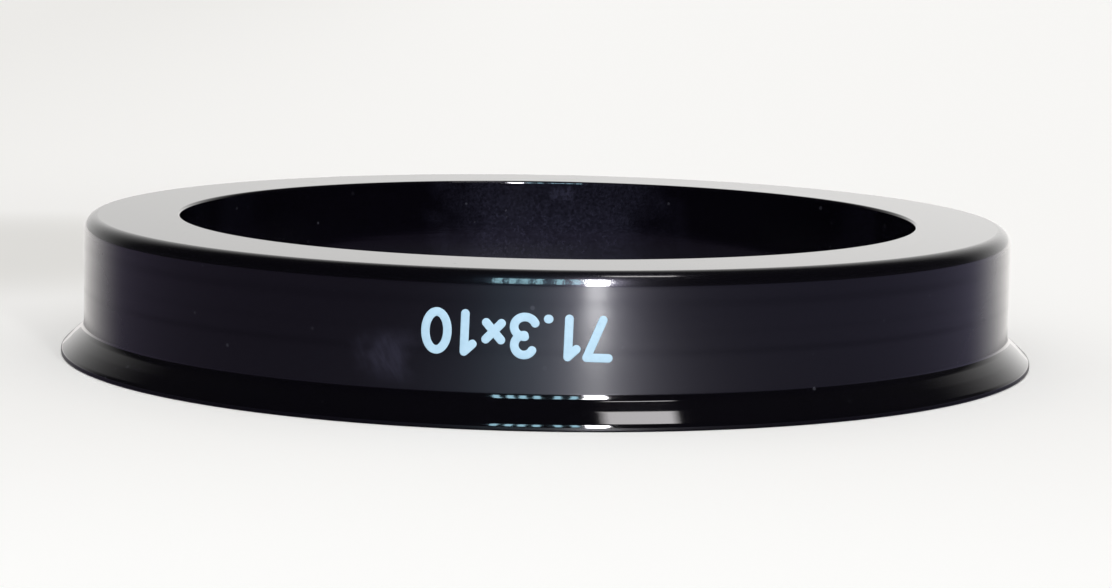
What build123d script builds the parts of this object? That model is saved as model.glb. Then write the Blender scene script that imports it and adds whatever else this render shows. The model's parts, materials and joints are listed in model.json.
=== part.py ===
from build123d import *
import os

# Hub centric ring: a one-piece moulded ring that fills the gap between a car's
# hub spigot and a wheel's larger centre bore. It stands on its lip face.
# All sizes are in millimetres and degrees.

# Sizes that fit other parts
wheel_seat_d = 68.0
hub_bore_d = 54.1
height = 10.0

# Tapered lip that stops the ring in the mouth of the wheel's bore
lip_d = 71.3
lip_land = 0.4
lip_slope = 42.0
lip_root_round = 0.6
lip_rim_round = 0.15
lip_edge_break = 0.1

# Edges of the nose and of the bore
nose_round = 1.0
bore_nose_round = 0.2
bore_lead_in = 0.8

wheel_seat_r = wheel_seat_d / 2
hub_bore_r = hub_bore_d / 2
lip_r = lip_d / 2
lip_reach = lip_r - wheel_seat_r

with BuildPart() as hub_ring:
    # Half section, right of the axis: bore wall, nose, wheel seat, tapered lip
    with BuildSketch(Plane.XZ):
        with BuildLine():
            bore_wall = Line((hub_bore_r, 0), (hub_bore_r, height))
            nose = Line(bore_wall @ 1, (wheel_seat_r, height))
            lip_rim = Line((lip_r, 0), (lip_r, lip_land))
            taper = PolarLine(
                lip_rim @ 1,
                lip_reach,
                angle=180 - lip_slope,
                length_mode=LengthMode.HORIZONTAL,
            )
            Line(nose @ 1, taper @ 1)
            Line(bore_wall @ 0, lip_rim @ 0)
        make_face()
    revolve(axis=Axis.Z)

    # Rounds and edge breaks, chosen by height and then by radius
    rings = hub_ring.edges().filter_by(GeomType.CIRCLE)
    lip_face_rings = rings.group_by(Axis.Z)[0].sort_by(SortBy.RADIUS)
    lip_rim_top = rings.group_by(Axis.Z)[1]
    lip_root = rings.group_by(Axis.Z)[2]
    nose_rings = rings.group_by(Axis.Z)[3].sort_by(SortBy.RADIUS)
    fillet(nose_rings[-1], radius=nose_round)
    fillet(nose_rings[0], radius=bore_nose_round)
    fillet(lip_root, radius=lip_root_round)
    fillet(lip_rim_top, radius=lip_rim_round)
    chamfer(lip_face_rings[-1], length=lip_edge_break)
    chamfer(lip_face_rings[0], length=bore_lead_in)

hub_ring.part.label = "hub_ring"

os.makedirs("parts", exist_ok=True)
export_step(hub_ring.part, "parts/hub_ring.step")
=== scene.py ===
"""Hub centric ring: one gloss black moulded ring with a small white size mark, standing on a pale floor."""

import json

import bmesh
import bpy
import numpy as np
from mathutils import Matrix, Vector


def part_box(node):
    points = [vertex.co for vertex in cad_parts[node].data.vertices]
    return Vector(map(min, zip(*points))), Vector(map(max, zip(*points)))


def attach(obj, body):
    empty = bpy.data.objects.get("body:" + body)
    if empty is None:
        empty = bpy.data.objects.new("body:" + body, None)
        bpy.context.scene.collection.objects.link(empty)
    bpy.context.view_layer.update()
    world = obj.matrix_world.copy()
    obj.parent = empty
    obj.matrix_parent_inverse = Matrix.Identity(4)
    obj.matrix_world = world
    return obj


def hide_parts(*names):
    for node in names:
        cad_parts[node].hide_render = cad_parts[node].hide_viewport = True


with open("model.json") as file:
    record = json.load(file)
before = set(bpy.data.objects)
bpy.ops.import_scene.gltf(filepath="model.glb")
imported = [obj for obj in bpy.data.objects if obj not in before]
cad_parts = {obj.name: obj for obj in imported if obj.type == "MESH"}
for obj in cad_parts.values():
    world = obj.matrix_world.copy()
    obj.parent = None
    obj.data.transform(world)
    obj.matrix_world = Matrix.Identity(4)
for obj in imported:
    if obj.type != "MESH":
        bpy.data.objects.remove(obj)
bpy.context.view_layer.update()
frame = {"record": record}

# Sizes, in metres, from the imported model
MM = 0.001
MOUNTS = {mount["name"]: mount for mount in frame["record"]["mounts"]}
RING_LOW, RING_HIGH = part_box("hub_ring")
HEIGHT = RING_HIGH.z - RING_LOW.z
LIP_R = RING_HIGH.x
SEAT_R = MOUNTS["wheel_seat"]["dims"]["r_mm"] * MM
BORE_R = MOUNTS["hub_bore"]["dims"]["r_mm"] * MM

# Lip and edges, as on the solid, except that the rim is rounder and the taper is crowned halfway down: each
# of the two moves the surface by 0.03 mm at most
LIP_LAND = 0.40 * MM
LIP_SLOPE = np.radians(42.0)
LIP_TOP = LIP_LAND + (LIP_R - SEAT_R) * np.tan(LIP_SLOPE)
LIP_ROOT_ROUND = 0.60 * MM
LIP_RIM_ROUND = 0.40 * MM
LIP_CROWN = 0.03 * MM
LIP_CROWN_ROUND = 4.0 * MM
LIP_EDGE_BREAK = 0.10 * MM
NOSE_ROUND = 1.00 * MM
BORE_NOSE_ROUND = 0.20 * MM
BORE_LEAD_IN = 0.80 * MM
CORNER_BREAK = 0.04 * MM

# Section of the ring, right of its axis, as corners (radius, height, round), anticlockwise from the bore
RING_SECTION = [
    (BORE_R + BORE_LEAD_IN, 0, CORNER_BREAK),
    (LIP_R - LIP_EDGE_BREAK, 0, CORNER_BREAK),
    (LIP_R, LIP_EDGE_BREAK, CORNER_BREAK),
    (LIP_R, LIP_LAND, LIP_RIM_ROUND),
    ((LIP_R + SEAT_R) / 2, (LIP_LAND + LIP_TOP) / 2 + LIP_CROWN, LIP_CROWN_ROUND),
    (SEAT_R, LIP_TOP, LIP_ROOT_ROUND),
    (SEAT_R, HEIGHT, NOSE_ROUND),
    (BORE_R, HEIGHT, BORE_NOSE_ROUND),
    (BORE_R, BORE_LEAD_IN, CORNER_BREAK),
]

# Fineness of the ring's surface
AROUND = 512
ARC_STEP = np.radians(5.0)
ARC_POINTS_LEAST = 4
RUN_STEP = 0.5 * MM


def rounded_section(corners):
    """Closed outline from (r, z, round) corners, with the outward normal at each point. Each corner is
    replaced by the arc of its radius that touches both of its sides, and each straight run between two arcs
    is divided evenly. An arc's normal points from its centre where the outline turns left, and to it where
    it turns right."""
    spots = np.array([corner[:2] for corner in corners])
    rounds = np.array([corner[2] for corner in corners])
    arcs, normals = [], []
    for before, here, after, radius in zip(np.roll(spots, 1, 0), spots, np.roll(spots, -1, 0), rounds):
        back = (before - here) / np.linalg.norm(before - here)
        ahead = (after - here) / np.linalg.norm(after - here)
        half = np.arccos(np.clip(back @ ahead, -1, 1)) / 2
        middle = (back + ahead) / np.linalg.norm(back + ahead)
        centre = here + middle * radius / np.sin(half)
        start = here + back * radius / np.tan(half) - centre
        finish = here + ahead * radius / np.tan(half) - centre
        turn = np.pi - 2 * half
        side = np.sign(start[0] * finish[1] - start[1] * finish[0])
        swing = np.linspace(0, side * turn, max(ARC_POINTS_LEAST, int(np.ceil(turn / ARC_STEP)) + 1))
        across = np.array([-start[1], start[0]])
        spokes = np.outer(np.cos(swing), start) + np.outer(np.sin(swing), across)
        arcs.append(centre + spokes)
        normals.append(side * spokes / radius)
    outline, outward = [], []
    for arc, normal, following in zip(arcs, normals, arcs[1:] + arcs[:1]):
        run = following[0] - arc[-1]
        share = np.linspace(0, 1, int(np.ceil(np.linalg.norm(run) / RUN_STEP)) + 1)[1:-1, None]
        outline += [arc, arc[-1] + share * run]
        outward += [normal, np.repeat(normal[-1:], len(share), 0)]
    return np.concatenate(outline), np.concatenate(outward)


def mesh_object(name, points, faces, material):
    """A smooth-shaded object at the origin from an (n, 3) array of points and an array of quads."""
    mesh = bpy.data.meshes.new(name)
    mesh.from_pydata(points.tolist(), [], faces.tolist())
    mesh.polygons.foreach_set("use_smooth", np.ones(len(mesh.polygons), bool))
    mesh.materials.append(material)
    mesh.update()
    made = bpy.data.objects.new(name, mesh)
    bpy.context.scene.collection.objects.link(made)
    return made


def grid_faces(rows, columns, rows_closed, columns_closed):
    """Quads of a grid of points numbered row by row, joined up at the seam in each closed direction."""
    row = np.arange(rows if rows_closed else rows - 1)[:, None]
    column = np.arange(columns if columns_closed else columns - 1)[None, :]
    next_row = (row + 1) % rows
    next_column = (column + 1) % columns
    corners = [
        row * columns + column,
        row * columns + next_column,
        next_row * columns + next_column,
        next_row * columns + column,
    ]
    return np.stack([c.ravel() for c in np.broadcast_arrays(*corners)], 1)


def turned_ring(name, corners, material):
    """Surface of revolution: the section's point (r, z), turned by the angle a from the front,
    lies at (r sin a, -r cos a, z), and its normal turns with it."""
    section, outward = rounded_section(corners)
    angle = np.linspace(0, 2 * np.pi, AROUND, endpoint=False)

    def turned(flat):
        r, z = flat[:, :1], flat[:, 1:]
        return np.stack([r * np.sin(angle), -r * np.cos(angle), z + 0 * angle], axis=-1).reshape(-1, 3)

    faces = grid_faces(len(section), AROUND, True, True)
    made = mesh_object(name, turned(section), faces, material)
    made.data.normals_split_custom_set_from_vertices(turned(outward).tolist())
    return made


class NodeKit:
    """Short ways to fill a node tree. Apart from feed and add, each gives the output, or the outputs, of
    the nodes that it adds."""

    def __init__(self, tree):
        self.tree = tree

    def feed(self, node, inputs):
        """Gives inputs of a node their values, or links them to sockets."""
        for key, value in inputs.items():
            if isinstance(value, bpy.types.NodeSocket):
                self.tree.links.new(value, node.inputs[key])
            else:
                node.inputs[key].default_value = value

    def add(self, kind, inputs=None, **settings):
        """A new node with its settings and inputs."""
        node = self.tree.nodes.new(kind)
        for key, value in settings.items():
            setattr(node, key, value)
        self.feed(node, inputs or {})
        return node

    def group(self, tree, inputs=None):
        """The outputs of a node group."""
        return self.add("ShaderNodeGroup", inputs, node_tree=tree).outputs

    def coordinates(self, kind="Object"):
        """Object coordinates, or Generated ones, which are the direction in a world."""
        return self.add("ShaderNodeTexCoord").outputs[kind]

    def parts(self, vector):
        """A vector's x, y and z."""
        return self.add("ShaderNodeSeparateXYZ", {0: vector}).outputs

    def noise(self, vector, scale, detail=3.0, roughness=0.5, distortion=0.0):
        """Noise about 0.5."""
        inputs = {"Vector": vector, "Scale": scale, "Detail": detail, "Roughness": roughness}
        return self.add("ShaderNodeTexNoise", {**inputs, "Distortion": distortion}).outputs["Fac"]

    def bump(self, inputs):
        """A normal that is tilted by a height."""
        return self.add("ShaderNodeBump", inputs).outputs[0]

    def maths(self, operation, *values, clamp=False):
        """The result of one operation on values."""
        terms = dict(enumerate(values))
        return self.add("ShaderNodeMath", terms, operation=operation, use_clamp=clamp).outputs[0]

    def product(self, first, *others):
        """Values multiplied together."""
        for other in others:
            first = self.maths("MULTIPLY", first, other)
        return first

    def square_sum(self, a, b):
        """The sum of two squares."""
        return self.maths("ADD", self.product(a, a), self.product(b, b))

    def fade(self, value, start, end, low=0.0, high=1.0):
        """A soft step, from low at the start to high at the end."""
        limits = {"Value": value, "From Min": start, "From Max": end, "To Min": low, "To Max": high}
        return self.add("ShaderNodeMapRange", limits, interpolation_type="SMOOTHSTEP").outputs[0]

    def window(self, value, low, high, soft):
        """1 between two limits and 0 outside them, with soft steps."""
        above = self.fade(value, low - soft, low + soft)
        below = self.fade(value, high - soft, high + soft, 1.0, 0.0)
        return self.product(above, below)

    def blend(self, factor, a, b):
        """Value a where the factor is 0 and value b where it is 1."""
        return self.maths("MULTIPLY_ADD", factor, self.maths("SUBTRACT", b, a), a)

    def mix(self, factor, a, b):
        """Colour a where the factor is 0 and colour b where it is 1."""
        node = self.add("ShaderNodeMix", {"Factor": factor, "A": a, "B": b}, data_type="RGBA")
        return node.outputs["Result"]


def new_group(name, inputs, outputs):
    """An empty shader node group with named float sockets, and its input and output nodes."""
    group = bpy.data.node_groups.new(name, "ShaderNodeTree")
    for socket, default in inputs.items():
        made = group.interface.new_socket(socket, in_out="INPUT", socket_type="NodeSocketFloat")
        made.default_value = default
    for socket in outputs:
        group.interface.new_socket(socket, in_out="OUTPUT", socket_type="NodeSocketFloat")
    return group, group.nodes.new("NodeGroupInput"), group.nodes.new("NodeGroupOutput")


def new_material(name):
    material = bpy.data.materials.new(name)
    material.use_nodes = True
    return material, material.node_tree.nodes["Principled BSDF"], NodeKit(material.node_tree)


def ring_place_group():
    """Where a point is on the ring: its radius from the axis, its angle from the front, positive to the
    right, and its height."""
    group, _, out = new_group("ring_place", {}, ["Radius", "Angle", "Height"])
    kit = NodeKit(group)
    x, y, z = kit.parts(kit.coordinates())
    radius = kit.maths("SQRT", kit.square_sum(x, y))
    angle = kit.maths("ARCTAN2", x, kit.product(y, -1.0))
    kit.feed(out, {"Radius": radius, "Angle": angle, "Height": z})
    return group


def turning_lines_group():
    """Fine marks that run round the axis: noise that is stretched along the ring and tight across its
    section, whose place across the section is height minus radius."""
    group, given, out = new_group("turning_lines", {"Lines per mm": 6.0, "Around per mm": 0.03}, ["Mark"])
    kit = NodeKit(group)
    x, y, z = kit.parts(kit.coordinates())
    radius = kit.maths("SQRT", kit.square_sum(x, y))
    tight = kit.maths("DIVIDE", given.outputs["Lines per mm"], MM)
    loose = kit.maths("DIVIDE", given.outputs["Around per mm"], MM)
    across = kit.product(kit.maths("SUBTRACT", z, radius), tight)
    stretched = {"X": kit.product(x, loose), "Y": kit.product(y, loose), "Z": across}
    vector = kit.add("ShaderNodeCombineXYZ", stretched).outputs[0]
    kit.feed(out, {"Mark": kit.noise(vector, 1.0, roughness=0.6)})
    return group


# Dust: how rare its larger specks are, how hard its specks' edges are, and its drifts
SPECK_RARITY = 3.0
SPECK_HARDNESS = 12.0
DRIFTS = 0.14 / MM
DRIFT_HARDNESS = 6.0


def dust_group():
    """Fine dust: small round specks of uneven size, thinned out by broad drifts."""
    group, given, out = new_group("dust", {"Specks per mm": 1.2, "Size": 0.24, "Drift": 0.5}, ["Speck"])
    kit = NodeKit(group)
    place = kit.coordinates()
    scale = kit.maths("DIVIDE", given.outputs["Specks per mm"], MM)
    cells = kit.add("ShaderNodeTexVoronoi", {"Vector": place, "Scale": scale, "Randomness": 1.0}).outputs
    pick = kit.add("ShaderNodeSeparateColor", {0: cells["Color"]}).outputs[0]
    size = kit.product(kit.maths("POWER", pick, SPECK_RARITY), given.outputs["Size"])
    inside = kit.maths("SUBTRACT", size, cells["Distance"])
    speck = kit.maths("MULTIPLY", inside, SPECK_HARDNESS, clamp=True)
    drift = kit.maths("SUBTRACT", kit.noise(place, DRIFTS, roughness=0.6), given.outputs["Drift"])
    there = kit.maths("MULTIPLY", drift, DRIFT_HARDNESS, clamp=True)
    kit.feed(out, {"Speck": kit.product(speck, there)})
    return group


# Colours of the plastic, of the film that smears and dust leave on it, which in the bore is also a painted
# haze of the lamps' light, and of single specks
PLASTIC = (0.0012, 0.0010, 0.0020, 1)
FILM_AND_PAINTED_HAZE = (0.022, 0.022, 0.038, 1)
SPECKS = (0.036, 0.037, 0.046, 1)

# The wheel seat: radii either side of its wall, and the heights between its lip's root and the nose's round
SEAT_WITHIN = 0.15 * MM
SEAT_BEYOND = 0.10 * MM
SEAT_SOFT = 0.05 * MM
SEAT_LOW = LIP_TOP + LIP_ROOT_ROUND * np.tan((np.pi / 2 - LIP_SLOPE) / 2)
SEAT_HIGH = HEIGHT - NOSE_ROUND

# Roughness under the gloss: of the wheel seat at its foot and its top, added by broad marks, of the nose's
# round, of all other faces, and added by dust. Each step is half the height over which it changes
SEAT_ROUGH = (0.51, 0.385)
MARKS_NOISE = (0.35, 0.65)
MARKS_ROUGH = 0.03
NOSE_ROUGH = 0.26
POLISH_ROUGH = 0.06
DUST_ROUGH = 0.3
ROOT_STEP = 0.1 * MM
NOSE_STEP = 0.2 * MM

# Marks round the axis, broad ones for roughness and fine ones for bump, and the grain of the nose
BROAD_MARKS = {"Lines per mm": 0.7, "Around per mm": 0.012}
FINE_MARKS = {"Lines per mm": 5.0, "Around per mm": 0.03}
FINE_MARK_DEPTH = 0.003 * MM
FINE_MARK_STRENGTH = 0.25
GRAIN = 7.0 / MM
GRAIN_DEPTH = 0.002 * MM
GRAIN_STEP = 0.1 * MM

# Mould lines on the wheel seat, as (height, half width, loss of gloss), and where they grow faint
MOULD_LINES = [(4.80 * MM, 0.40 * MM, 0.24), (6.10 * MM, 0.30 * MM, 0.08), (7.95 * MM, 0.55 * MM, 0.20)]
MOULD_LINE_DEPTH = 0.0015 * MM
MOULD_LINE_ENDS = np.radians((50.0, 66.0))
MOULD_LINE_FAINT = 0.25

# Noise that makes the sides of the smear and of the film wander
WANDER = 0.32 / MM

# Smear of a finger on the wheel seat, left of the front
SMEAR_ANGLES = np.radians((-19.8, -13.6))
SMEAR_ANGLE_SOFT = np.radians(1.5)
SMEAR_WANDER = np.radians(9.0)
SMEAR_HEIGHTS = (2.9 * MM, 5.6 * MM)
SMEAR_HEIGHT_SOFT = 0.8 * MM
SMEAR_SLANT = (0, np.radians(-28), 0)
SMEAR_STREAK = (0.50 * MM, 0.50 * MM, 1.6 * MM)
SMEAR_SWIRL = 0.9
STREAK_NOISE = (0.22, 0.78)
SMEAR_COVER = (0.24, 0.62)

# Dusty film on the far side of the bore, with one smudge near the nose: dust that is also a painted haze of
# the lamps' light there
BORE_SKIN = (0.05 * MM, 0.15 * MM)
FILM_ACROSS = (-7.5 * MM, 8.0 * MM)
FILM_ACROSS_SOFT = 3.2 * MM
FILM_WANDER = 9.0 * MM
FILM_HEIGHTS = (6.5 * MM, 9.5 * MM)
FILM_COVER = (0.70, 0.48)
SMUDGE_ACROSS = (-0.1 * MM, 2.4 * MM)
SMUDGE_ACROSS_SOFT = 0.8 * MM
SMUDGE_HEIGHTS = (8.3 * MM, 9.7 * MM)
SMUDGE_HEIGHT_SOFT = 0.5 * MM
BLOTCHES = 4.2 / MM
BLOTCH_NOISE = (0.30, 0.78)
BLOTCH_COVER = (0.28, 0.95)


def finger_smear(kit, spot, on_seat, place, wander):
    """Mask of the finger's smear: a soft patch whose sides wander, broken up by slanting streaks."""
    shifted = kit.maths("MULTIPLY_ADD", wander, SMEAR_WANDER, spot["Angle"])
    slant = {"Vector": place, "Rotation": SMEAR_SLANT, "Scale": SMEAR_STREAK}
    slanting = kit.add("ShaderNodeMapping", slant, vector_type="TEXTURE").outputs[0]
    streaks = kit.noise(slanting, 1.0, distortion=SMEAR_SWIRL)
    return kit.product(
        kit.window(shifted, *SMEAR_ANGLES, SMEAR_ANGLE_SOFT),
        on_seat,
        kit.window(spot["Height"], *SMEAR_HEIGHTS, SMEAR_HEIGHT_SOFT),
        kit.fade(streaks, *STREAK_NOISE, *SMEAR_COVER),
    )


def bore_film_and_painted_haze(kit, spot, place, wander):
    """Mask of the film in the bore, which is dust and also a painted haze of the lamps' light: thinner
    towards the nose, wandering at its two sides, with a smudge, and blotchy all over."""
    across = kit.product(kit.maths("SINE", spot["Angle"]), spot["Radius"])
    behind = kit.maths("LESS_THAN", kit.maths("COSINE", spot["Angle"]), 0.0)
    in_bore = kit.fade(spot["Radius"], BORE_R + BORE_SKIN[0], BORE_R + BORE_SKIN[1], 1.0, 0.0)
    far_side = kit.product(in_bore, behind)
    smudge = kit.product(
        far_side,
        kit.window(across, *SMUDGE_ACROSS, SMUDGE_ACROSS_SOFT),
        kit.window(spot["Height"], *SMUDGE_HEIGHTS, SMUDGE_HEIGHT_SOFT),
    )
    wandering = kit.maths("MULTIPLY_ADD", wander, FILM_WANDER, across)
    film = kit.product(
        far_side,
        kit.window(wandering, *FILM_ACROSS, FILM_ACROSS_SOFT),
        kit.fade(spot["Height"], *FILM_HEIGHTS, *FILM_COVER),
    )
    blotches = kit.noise(place, BLOTCHES, roughness=0.6)
    cover = kit.fade(blotches, *BLOTCH_NOISE, *BLOTCH_COVER)
    return kit.product(kit.maths("MAXIMUM", film, smudge), cover)


def mould_lines(kit, spot, on_seat):
    """The mould lines, as the gloss that they leave and as a height that dips on them. They grow faint
    towards the ring's two sides."""
    sideways = kit.maths("ABSOLUTE", spot["Angle"])
    lined = kit.product(on_seat, kit.fade(sideways, *MOULD_LINE_ENDS, 1.0, MOULD_LINE_FAINT))
    gloss = 1.0
    dips = 0.0
    for level, half_width, loss in MOULD_LINES:
        off = kit.maths("ABSOLUTE", kit.maths("SUBTRACT", spot["Height"], level))
        line = kit.product(kit.fade(off, 0.0, half_width, 1.0, 0.0), lined)
        gloss = kit.maths("MULTIPLY_ADD", line, -loss, gloss)
        dips = kit.maths("MULTIPLY_ADD", line, -loss, dips)
    return gloss, dips


def seat_haze(kit, spot, broad):
    """Roughness under the gloss: a haze on the wheel seat that grows downwards, with broad marks round the
    axis, less of it on the nose's round, and a polish everywhere else."""
    radius, height = spot["Radius"], spot["Height"]
    hazy = kit.product(
        kit.window(radius, SEAT_R - NOSE_ROUND, SEAT_R + SEAT_BEYOND, SEAT_SOFT),
        kit.fade(height, SEAT_LOW - ROOT_STEP, SEAT_LOW + ROOT_STEP),
    )
    seat = kit.fade(height, SEAT_LOW, SEAT_HIGH, *SEAT_ROUGH)
    seat = kit.maths("ADD", seat, kit.fade(broad, *MARKS_NOISE, 0.0, MARKS_ROUGH))
    haze = kit.blend(kit.fade(height, SEAT_HIGH - NOSE_STEP, SEAT_HIGH + NOSE_STEP), seat, NOSE_ROUGH)
    return kit.blend(hazy, POLISH_ROUGH, haze)


def black_plastic(place_group, lines_group, dust):
    """Polished black moulding: almost no colour of its own under a clear gloss. On the wheel seat a haze
    that follows fine marks round the axis spreads light up and down, and shallow mould lines dull the
    gloss. A finger's smear, a film in the bore that is partly a painted haze of the lamps' light, and a
    little dust lie on it."""
    material, skin, kit = new_material("gloss_black_plastic")
    spot = kit.group(place_group)
    fine = kit.group(lines_group, FINE_MARKS)["Mark"]
    broad = kit.group(lines_group, BROAD_MARKS)["Mark"]
    specks = kit.group(dust)["Speck"]
    place = kit.coordinates()
    wander = kit.maths("SUBTRACT", kit.noise(place, WANDER), 0.5)
    on_seat = kit.window(spot["Radius"], SEAT_R - SEAT_WITHIN, SEAT_R + SEAT_BEYOND, SEAT_SOFT)

    smear = finger_smear(kit, spot, on_seat, place, wander)
    film = bore_film_and_painted_haze(kit, spot, place, wander)
    # Painted haze: in the bore the film's colour stands in for hazy lamp light as well as for dust
    colour = kit.mix(kit.maths("MAXIMUM", smear, film), PLASTIC, FILM_AND_PAINTED_HAZE)
    rough = seat_haze(kit, spot, broad)
    gloss, dips = mould_lines(kit, spot, on_seat)

    on_nose = kit.fade(spot["Height"], SEAT_HIGH - GRAIN_STEP, SEAT_HIGH + GRAIN_STEP)
    grain = kit.product(kit.noise(place, GRAIN, detail=1.0), on_nose)
    normal = kit.bump({"Height": grain, "Distance": GRAIN_DEPTH})
    fine_marks = {"Height": fine, "Strength": FINE_MARK_STRENGTH, "Distance": FINE_MARK_DEPTH}
    normal = kit.bump({**fine_marks, "Normal": normal})
    normal = kit.bump({"Height": dips, "Distance": MOULD_LINE_DEPTH, "Normal": normal})

    surface = {
        "Base Color": kit.mix(specks, colour, SPECKS),
        "Roughness": kit.maths("MULTIPLY_ADD", specks, DUST_ROUGH, rough, clamp=True),
        "Normal": normal,
        "Tangent": kit.add("ShaderNodeTangent", direction_type="RADIAL", axis="Z").outputs[0],
        "Anisotropic": 0.8,
        "Anisotropic Rotation": 0.25,
        "Specular IOR Level": 0.16,
        "Specular Tint": (0.82, 0.78, 1.0, 1),
        "Coat Weight": gloss,
        "Coat Roughness": 0.05,
        "Coat IOR": 1.45,
        "Coat Normal": normal,
    }
    kit.feed(skin, surface)
    return material


# White ink, where it is thin and where it covers well
INK_THIN = (0.30, 0.465, 0.60, 1)
INK_FULL = (0.41, 0.585, 0.72, 1)
INK_COVER = 2.6 / MM
INK_ROUGH = 0.6
INK_DUST_ROUGH = 0.2


def white_ink(dust):
    """Pad-printed ink: cool white, satin, a little uneven in cover."""
    material, skin, kit = new_material("white_ink")
    cover = kit.noise(kit.coordinates(), INK_COVER, detail=2.0)
    specks = kit.group(dust)["Speck"]
    surface = {
        "Base Color": kit.mix(cover, INK_THIN, INK_FULL),
        "Roughness": kit.maths("MULTIPLY_ADD", specks, INK_DUST_ROUGH, INK_ROUGH),
        "Specular IOR Level": 0.3,
    }
    kit.feed(skin, surface)
    return material


# Size mark: the lip's diameter and the height, in plain numerals with round-ended strokes
MARK = "71.3x10"
MARK_HEIGHT = 3.0 * MM
STROKE = 0.56 * MM
INK_RISE = 0.02 * MM
MARK_MIDDLE = -1.85 * MM
MARK_LEVEL = 5.87 * MM
MARK_SKEW = np.radians(1.6)
ADVANCE = {
    "0": 2.10 * MM,
    "1": 1.70 * MM,
    "3": 2.00 * MM,
    "7": 2.00 * MM,
    "x": 1.88 * MM,
    ".": 1.05 * MM,
}

# Fineness of the mark's strokes: points along each kind of line, in an end's cap and round the profile
STRAIGHT_POINTS = 9
OVAL_POINTS = 65
BOW_POINTS = 33
CAP_ANGLES = np.radians(np.linspace(90, 12, 7))
PROFILE_POINTS = 16
PROFILE_POWER = 0.6
MERGE_DISTANCE = 0.001 * INK_RISE


def straight(start, end):
    """A straight stroke's centre line, in numeral units: 1 is half the height between stroke centres."""
    return np.linspace(start, end, STRAIGHT_POINTS)


def oval(width, height):
    """A closed oval centre line."""
    t = np.linspace(0, 2 * np.pi, OVAL_POINTS)[:, None]
    return np.hstack([width * np.cos(t), height * np.sin(t)])


def bow(middle, width, height, start, end):
    """Part of an oval about a middle point, from one angle to another in degrees, anticlockwise from +X."""
    t = np.radians(np.linspace(start, end, BOW_POINTS))[:, None]
    return np.array(middle) + np.hstack([width * np.cos(t), height * np.sin(t)])


NUMERALS = {
    "0": [oval(0.59, 1.0)],
    "1": [straight((-0.38, 0.58), (0.05, 1.0)), straight((0.05, 1.0), (0.05, -1.0))],
    "3": [bow((-0.02, 0.48), 0.50, 0.52, 150, -90), bow((-0.04, -0.48), 0.57, 0.52, 90, -155)],
    "7": [straight((-0.56, 1.0), (0.58, 1.0)), straight((0.58, 1.0), (-0.20, -1.0))],
    "x": [straight((-0.40, -0.60), (0.40, 0.28)), straight((-0.40, 0.28), (0.40, -0.60))],
    ".": [straight((-0.02, -0.95), (0.02, -0.95))],
}


def stroke_surface(path):
    """Ink stroke: a flat lens-shaped profile carried along the path, drawn in to a half-round at each open
    end, whose last ring of points is one point. Gives points (along, up, out) of the unrolled wall and the
    quads of the closed skin."""
    closed = np.allclose(path[0], path[-1])
    if closed:
        path = path[:-1]
        tangent = np.roll(path, -1, 0) - np.roll(path, 1, 0)
        full = np.ones(len(path))
    else:
        lead = (path[1] - path[0]) / np.linalg.norm(path[1] - path[0])
        tail = (path[-1] - path[-2]) / np.linalg.norm(path[-1] - path[-2])
        head = path[0] - np.outer(np.sin(CAP_ANGLES) * STROKE / 2, lead)
        foot = path[-1] + np.outer(np.sin(CAP_ANGLES[::-1]) * STROKE / 2, tail)
        full = np.concatenate([np.cos(CAP_ANGLES), np.ones(len(path)), np.cos(CAP_ANGLES[::-1])])
        path = np.concatenate([head, path, foot])
        tangent = np.gradient(path, axis=0)
    tangent = tangent / np.linalg.norm(tangent, axis=1, keepdims=True)
    normal = np.stack([-tangent[:, 1], tangent[:, 0]], 1)
    turn = np.linspace(0, 2 * np.pi, PROFILE_POINTS, endpoint=False)
    side = np.sign(np.cos(turn)) * np.abs(np.cos(turn)) ** PROFILE_POWER
    lift = np.sign(np.sin(turn)) * np.abs(np.sin(turn)) ** PROFILE_POWER
    flat = path[:, None, :] + STROKE / 2 * np.outer(full, side)[:, :, None] * normal[:, None, :]
    out = INK_RISE * np.outer(full, lift)[:, :, None]
    points = np.concatenate([flat, out], axis=2).reshape(-1, 3)
    return points, grid_faces(len(path), len(turn), closed, True)


def size_mark(name, material):
    """The mark, upside down on the wheel seat: each numeral is set out along the wall, and the whole is
    skewed a little and wrapped round it, so that a length along the wall becomes an angle."""
    unit = (MARK_HEIGHT - STROKE) / 2
    widths = np.array([ADVANCE[letter] for letter in MARK])
    middles = np.cumsum(widths) - widths / 2 - widths.sum() / 2
    points, faces, count = [], [], 0
    for letter, middle in zip(MARK, middles):
        for path in NUMERALS[letter]:
            made, quads = stroke_surface(path * unit + [middle, 0])
            points.append(made)
            faces.append(quads + count)
            count += len(made)
    along, up, out = np.concatenate(points).T
    turned_along = along * np.cos(MARK_SKEW) + up * np.sin(MARK_SKEW)
    turned_up = up * np.cos(MARK_SKEW) - along * np.sin(MARK_SKEW)
    angle = (MARK_MIDDLE - turned_along) / SEAT_R
    radius = SEAT_R + out
    wrapped = np.stack([radius * np.sin(angle), -radius * np.cos(angle), MARK_LEVEL - turned_up], 1)
    made = mesh_object(name, wrapped, np.concatenate(faces), material)
    skin = bmesh.new()
    skin.from_mesh(made.data)
    bmesh.ops.remove_doubles(skin, verts=skin.verts, dist=MERGE_DISTANCE)
    skin.to_mesh(made.data)
    skin.free()
    return made


dust = dust_group()
ring = turned_ring("ring", RING_SECTION, black_plastic(ring_place_group(), turning_lines_group(), dust))
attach(ring, "root")
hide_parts("hub_ring")
mark = size_mark("size_mark", white_ink(dust))
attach(mark, "root")
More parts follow.
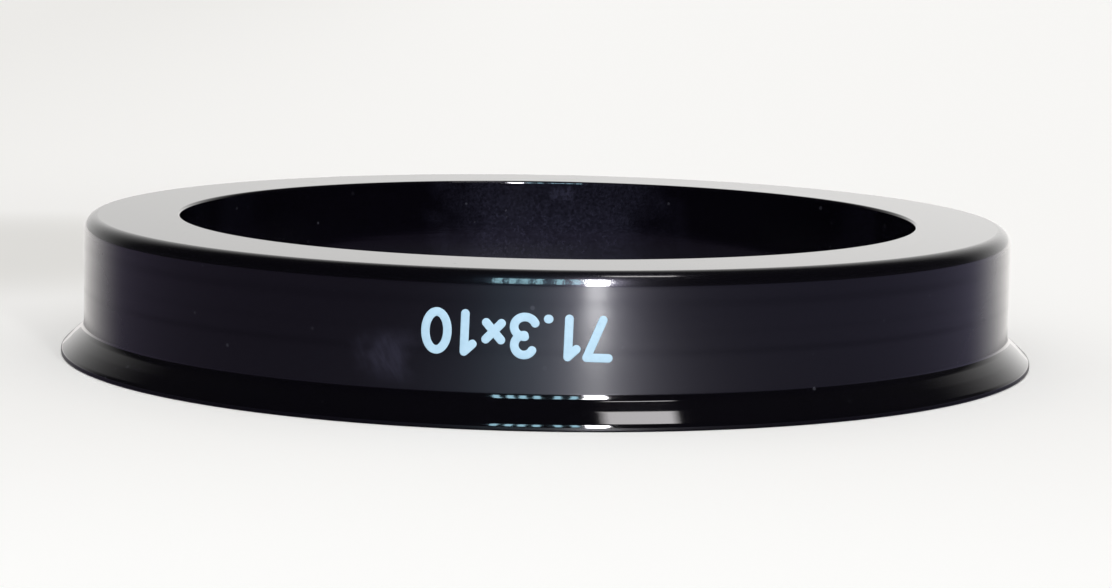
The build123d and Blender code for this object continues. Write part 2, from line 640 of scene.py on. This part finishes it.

# Floor, as the camera sees it: painted light near the camera, painted shade to the left of the ring, and a
# painted shadow in a patch there
FLOOR_REACH = 4.0
FLOOR_DROP = 0.01 * MM
FLOOR_NEAR_PAINTED_LIGHT = (1.0, 1.0, 0.995, 1)
FLOOR_RIGHT = (0.955, 0.95, 0.94, 1)
FLOOR_LEFT_PAINTED_SHADE = (0.86, 0.853, 0.838, 1)
FLOOR_PAINTED_SHADOW = (0.785, 0.777, 0.757, 1)
NEAR_TO_FAR = (-85 * MM, -30 * MM)
LEFT_TO_RIGHT = (-130 * MM, 10 * MM)
PAINTED_SHADOW_X = -50 * MM
PAINTED_SHADOW_Y = 56 * MM
PAINTED_SHADOW_HALF_X = 27 * MM
PAINTED_SHADOW_HALF_Y = 38 * MM

# Floor, as the gloss shows it, a painted reflection that glows: its colours in front of and behind the
# ring, by the bearing from a point inside each of the ring's two ends, then a painted shadow close to the
# lip and painted shade inside the ring
BEARING_X = 24 * MM
BEARING_Y = -21.5 * MM
FRONT_TO_BEHIND = np.radians((34, 64))
PAINTED_REFLECTION_FRONT_LEFT = (0.125, 0.105, 0.17, 1)
PAINTED_REFLECTION_FRONT_RIGHT = (0.20, 0.187, 0.295, 1)
PAINTED_REFLECTION_BEHIND_LEFT = (0.80, 0.775, 0.76, 1)
PAINTED_REFLECTION_BEHIND_RIGHT = (0.95, 0.925, 0.905, 1)
SHOWN_LEFT_TO_RIGHT = (-60 * MM, 60 * MM)
BY_LIP_PAINTED_SHADOW = (0.012, 0.010, 0.016, 1)
BY_LIP_SHADOW_SHARE = 0.85
BY_LIP_SHADOW_REACH = 8 * MM
INSIDE_PAINTED_SHADE = (0.095, 0.08, 0.13, 1)
SHEEN_RADII = (45 * MM, 95 * MM)
SHEEN_ROUGH = (0.53, 0.40)
INSIDE_ROUGHER = 0.27


def pale_floor():
    """A wide sheet, just under the ring. To the camera it is matt and pale, with painted light that makes
    it brightest close by, painted shade that makes it greyer to the left, and a painted shadow in a soft
    patch left of the ring. The gloss sees a painted reflection that glows: dim in front of the ring and
    pale behind it, lighter to the right, with a painted shadow by the lip and painted shade inside the
    ring, under a sheen that is duller close to the ring."""
    material, skin, kit = new_material("pale_floor")
    x, y, _ = kit.parts(kit.coordinates())
    radius = kit.maths("SQRT", kit.square_sum(x, y))

    # Painted shade to the left, and a painted shadow in a soft patch left of the ring
    far = kit.mix(kit.fade(x, *LEFT_TO_RIGHT), FLOOR_LEFT_PAINTED_SHADE, FLOOR_RIGHT)
    shadow_off_x = kit.maths("DIVIDE", kit.maths("SUBTRACT", x, PAINTED_SHADOW_X), PAINTED_SHADOW_HALF_X)
    shadow_off_y = kit.maths("DIVIDE", kit.maths("SUBTRACT", y, PAINTED_SHADOW_Y), PAINTED_SHADOW_HALF_Y)
    far = kit.mix(kit.fade(kit.square_sum(shadow_off_x, shadow_off_y), 0.0, 1.0, 1.0, 0.0), far, FLOOR_PAINTED_SHADOW)
    # Painted light: brighter near the camera
    seen = kit.mix(kit.fade(y, *NEAR_TO_FAR), FLOOR_NEAR_PAINTED_LIGHT, far)
    kit.feed(skin, {"Base Color": seen, "Roughness": 1.0, "Specular IOR Level": 0.0})

    # Painted reflection: what the gloss sees of the floor glows in these colours, under its sheen
    outwards = kit.maths("SUBTRACT", kit.maths("ABSOLUTE", x), BEARING_X)
    bearing = kit.maths("ARCTAN2", kit.maths("SUBTRACT", y, BEARING_Y), outwards)
    behind = kit.fade(bearing, *FRONT_TO_BEHIND)
    left = kit.mix(behind, PAINTED_REFLECTION_FRONT_LEFT, PAINTED_REFLECTION_BEHIND_LEFT)
    right = kit.mix(behind, PAINTED_REFLECTION_FRONT_RIGHT, PAINTED_REFLECTION_BEHIND_RIGHT)
    painted_reflection = kit.mix(kit.fade(x, *SHOWN_LEFT_TO_RIGHT), left, right)
    # Painted shadow by the lip, and painted shade inside the ring
    painted_reflection = kit.mix(kit.fade(radius, LIP_R, LIP_R + BY_LIP_SHADOW_REACH, BY_LIP_SHADOW_SHARE, 0.0), painted_reflection, BY_LIP_PAINTED_SHADOW)
    painted_reflection = kit.mix(kit.maths("LESS_THAN", radius, SEAT_R), painted_reflection, INSIDE_PAINTED_SHADE)
    dull = kit.fade(radius, *SHEEN_RADII, *SHEEN_ROUGH)
    dull = kit.maths("ADD", dull, kit.fade(radius, BORE_R, SEAT_R, INSIDE_ROUGHER, 0.0))
    reflection_glow = {
        "Base Color": (0, 0, 0, 1),
        "Roughness": dull,
        "Emission Color": painted_reflection,
        "Emission Strength": 1.0,
    }
    sheen = kit.add("ShaderNodeBsdfPrincipled", reflection_glow)

    glossy = kit.add("ShaderNodeLightPath").outputs["Is Glossy Ray"]
    both = kit.add("ShaderNodeMixShader", {0: glossy, 1: skin.outputs[0], 2: sheen.outputs[0]})
    kit.feed(material.node_tree.nodes["Material Output"], {"Surface": both.outputs[0]})
    corners = np.array([(-1, -1, 0), (1, -1, 0), (1, 1, 0), (-1, 1, 0)]) * FLOOR_REACH
    corners[:, 2] = -FLOOR_DROP
    floor = mesh_object("floor", corners, np.array([[0, 1, 2, 3]]), material)


# World: its level on matt surfaces and to the camera, and the backdrop that the gloss shows, as soft steps
# (start, end, low, high) by the parts of a direction: y from front to back, z upwards, x to both sides and
# x from left to right
ROOM_TINT = (1.0, 0.99, 0.975, 1)
ROOM_MATT = 0.52
ROOM_SEEN = 0.92
BACKDROP_BACK = (0.51, 0.93, 0.046, 1.0)
BACKDROP_UP = (0.06, 0.41, 1.0, 0.64)
BACKDROP_SIDES = (0.13, 0.65, 1.0, 0.68)
BACKDROP_RIGHT = (-0.32, 0.56, 0.72, 1.08)
BACKDROP_LEAST = 0.003


def pale_room():
    """World light: even and soft on matt surfaces. The gloss reflects a pale backdrop behind the ring, a
    little brighter to the right, that fades out upwards, to both sides and towards the camera."""
    world = bpy.data.worlds.new("room")
    bpy.context.scene.world = world
    world.use_nodes = True
    kit = NodeKit(world.node_tree)
    x, y, z = kit.parts(kit.coordinates("Generated"))
    backdrop = kit.product(
        kit.fade(y, *BACKDROP_BACK),
        kit.fade(z, *BACKDROP_UP),
        kit.fade(kit.maths("ABSOLUTE", x), *BACKDROP_SIDES),
        kit.fade(x, *BACKDROP_RIGHT),
    )
    backdrop = kit.maths("ADD", backdrop, BACKDROP_LEAST)
    path = kit.add("ShaderNodeLightPath").outputs
    level = kit.blend(path["Is Glossy Ray"], ROOM_MATT, backdrop)
    level = kit.blend(path["Is Camera Ray"], level, ROOM_SEEN)
    kit.feed(world.node_tree.nodes["Background"], {"Color": ROOM_TINT, "Strength": level})


# Lamps, in metres: two keys, a flash, a row of cool lamps to the left of it, at azimuths in degrees, and a
# panel overhead, which is a stack of three that grow upwards and so give it a stepped edge
KEY_DISTANCE = 0.5
GLINT_DISTANCE = 0.21
GLINT_LEAN = 0.30
FLASH_SIZE = (0.019, 0.190)
COOL_ROW = (-13.6, -9.6, -6.1, -2.1, 3.7, 8.3)
COOL_SIZE = (0.006, 0.150)
COOL_TINT = (0.50, 0.88, 1.0)
PANEL_X = 0.0995
PANEL_Y = -0.076
PANEL_Z = 0.400
PANEL_TURN = np.radians(17)
PANEL_SIZE = np.array((0.081, 0.070))
PANEL_STEPS = (0.84, 0.94, 1.04)
PANEL_RISE = 1 * MM
PANEL_TINT = (1.0, 0.98, 0.95)


def facing_wall(azimuth, elevation, distance):
    """Place and turn of a lamp that faces the front of the ring's wall, from a distance along a direction:
    an azimuth to the right of the camera's side and an elevation, in degrees."""
    a, e = np.radians(azimuth), np.radians(elevation)
    toward = Vector((np.sin(a) * np.cos(e), -np.cos(a) * np.cos(e), np.sin(e)))
    front = Vector((0, -SEAT_R, HEIGHT / 2))
    turned = toward.to_track_quat("Z", "Y").to_matrix().to_4x4()
    return Matrix.Translation(front + toward * distance) @ turned


def leaning(azimuth, elevation):
    """Place and turn of a tall lamp that faces the wall. Its top leans outwards by a share of its azimuth,
    which keeps its reflection in the ring upright."""
    upright = facing_wall(azimuth, elevation, GLINT_DISTANCE)
    return upright @ Matrix.Rotation(-GLINT_LEAN * np.radians(azimuth), 4, "Z")


def lamp(name, kind, place):
    """A lamp that the camera doesn't see, at its place and turn."""
    made = bpy.data.objects.new(name, bpy.data.lights.new(name, kind))
    bpy.context.scene.collection.objects.link(made)
    made.matrix_world = place
    made.visible_camera = False
    return made


def soft_key(name, azimuth, elevation, strength, spread):
    """Even light from one side for the matt surfaces, with soft shadows: the gloss doesn't show it."""
    key = lamp(name, "SUN", facing_wall(azimuth, elevation, KEY_DISTANCE))
    key.data.energy = strength
    key.data.angle = np.radians(spread)
    key.visible_glossy = False


def glint(name, place, size, radiance, colour=(1, 1, 1)):
    """A rectangular lamp that only the gloss shows. Its power is radiance times pi times area."""
    made = lamp(name, "AREA", place)
    made.data.shape = "RECTANGLE"
    made.data.size, made.data.size_y = size
    made.data.energy = radiance * np.pi * size[0] * size[1]
    made.data.color = colour
    made.visible_diffuse = False


pale_floor()
pale_room()
soft_key("key", azimuth=4, elevation=55, strength=1.56, spread=20)
soft_key("low_key", azimuth=23, elevation=6.4, strength=1.5, spread=5)
glint("flash", leaning(azimuth=13.9, elevation=28), FLASH_SIZE, radiance=105.0)
for azimuth in COOL_ROW:
    glint("cool_lamp", leaning(azimuth, elevation=34), COOL_SIZE, radiance=13.0, colour=COOL_TINT)
for step, share in enumerate(PANEL_STEPS):
    above = Matrix.Translation((PANEL_X, PANEL_Y, PANEL_Z + step * PANEL_RISE))
    place = above @ Matrix.Rotation(PANEL_TURN, 4, "Z")
    glint("overhead", place, PANEL_SIZE * share, radiance=2.9, colour=PANEL_TINT)

# Camera, fitted to the ring's outlines in the picture, which is 1112 pixels wide, with angles in radians
PICTURE_W = 1112
FOCAL_PX = 3112.5
SENSOR_MM = 36.0
CAMERA_PLACE = Vector((0, -229.4 * MM, 34.05 * MM))
CAMERA_PAN = 0.0031
CAMERA_TILT = -0.1296
CAMERA_ROLL = 0.0183
CLIP_START = 1 * MM


def photo_camera():
    """Looks along +Y, turned by the pan to the right, by the tilt upwards and by the roll clockwise."""
    data = bpy.data.cameras.new("camera")
    data.sensor_fit = "HORIZONTAL"
    data.sensor_width = SENSOR_MM
    data.lens = FOCAL_PX * SENSOR_MM / PICTURE_W
    data.clip_start = CLIP_START
    camera = bpy.data.objects.new("camera", data)
    bpy.context.scene.collection.objects.link(camera)
    pan, tilt, roll = CAMERA_PAN, CAMERA_TILT, CAMERA_ROLL
    ahead = Vector((np.sin(pan) * np.cos(tilt), np.cos(pan) * np.cos(tilt), np.sin(tilt)))
    level = Vector((np.cos(pan), -np.sin(pan), 0))
    upright = level.cross(ahead)
    right = np.cos(roll) * level + np.sin(roll) * upright
    up = np.cos(roll) * upright - np.sin(roll) * level
    axes = Matrix((right, up, -ahead)).transposed().to_4x4()
    camera.matrix_world = Matrix.Translation(CAMERA_PLACE) @ axes
    bpy.context.scene.camera = camera


photo_camera()
bpy.context.scene.view_settings.view_transform = "Standard"

bpy.context.view_layer.update()
